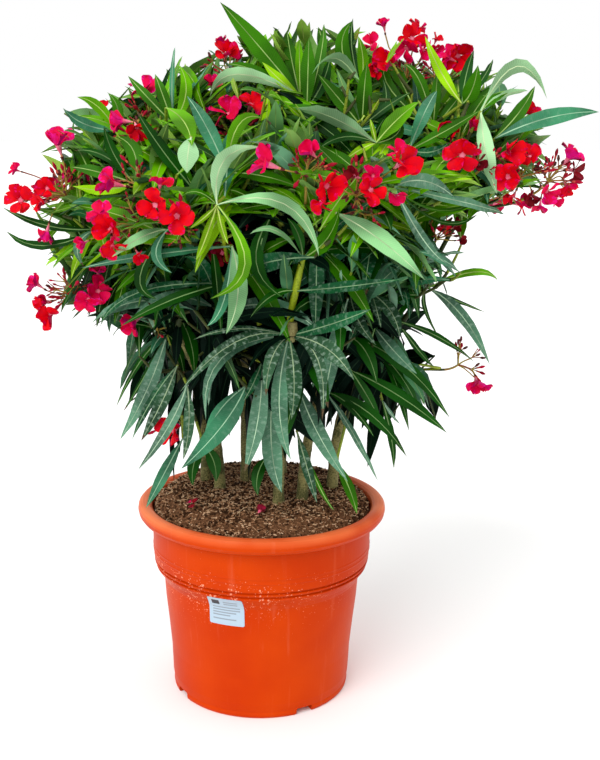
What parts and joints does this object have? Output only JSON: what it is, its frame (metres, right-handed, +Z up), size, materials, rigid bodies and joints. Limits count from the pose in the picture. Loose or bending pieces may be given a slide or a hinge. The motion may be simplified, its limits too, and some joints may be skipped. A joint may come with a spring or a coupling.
{
  "type": "potted oleander",
  "caption": "Flowering shrub with several canes under a broad leafy crown, growing in a round tapered plastic tub filled with compost.",
  "frame": {"origin": "centre of the tub's flat underside, on the tub's axis", "axes": "+Z up along the tub's axis, +X to the right of the plant's fullest side, which faces -Y"},
  "size_m": [0.841, 0.6089, 1.027],
  "materials": {
    "terracotta_plastic": "satin moulded plastic",
    "compost": "loose and fibrous",
    "label_paper": "matt, bare",
    "old_bark": "grey-brown bark",
    "green_bark": "young green bark",
    "foliage": "leathery leaves",
    "old_foliage": "older dusty leaves"
  },
  "bodies": {
    "root": {"tub": "terracotta_plastic", "compost": "compost", "label": "label_paper", "cane_left": "old_bark", "cane_back_left": "old_bark", "cane_middle": "old_bark", "cane_front": "old_bark", "cane_front_right": "old_bark", "cane_right": "old_bark", "cane_back": "old_bark", "bough_front_left": "green_bark", "bough_front": "green_bark", "bough_front_right": "green_bark", "bough_far_left": "green_bark", "bough_upper_left": "green_bark", "bough_top_left": "green_bark", "bough_top": "green_bark", "bough_top_right": "green_bark", "bough_upper_right": "green_bark", "bough_far_right": "green_bark", "bough_low_left": "green_bark", "bough_low_right": "green_bark", "bough_stray": "green_bark", "bough_back_left": "green_bark", "bough_back": "green_bark", "bough_back_right": "green_bark", "bough_back_top": "green_bark", "crown_front_left": "foliage", "crown_front": "foliage", "crown_front_right": "foliage", "crown_far_left": "foliage", "crown_upper_left": "foliage", "crown_top_left": "foliage", "crown_top": "foliage", "crown_top_right": "foliage", "crown_upper_right": "foliage", "crown_far_right": "foliage", "crown_low_left": "foliage", "crown_low_right": "foliage", "crown_stray": "foliage", "crown_back_left": "foliage", "crown_back": "foliage", "crown_back_right": "foliage", "crown_back_top": "foliage", "skirt_upper_left": "old_foliage", "skirt_upper_right": "old_foliage", "skirt_upper_back": "old_foliage", "skirt_left": "old_foliage", "skirt_front_left": "old_foliage", "skirt_front_right": "old_foliage", "skirt_right": "old_foliage", "skirt_back_left": "old_foliage", "skirt_back_right": "old_foliage"}
  },
  "joints": []
}
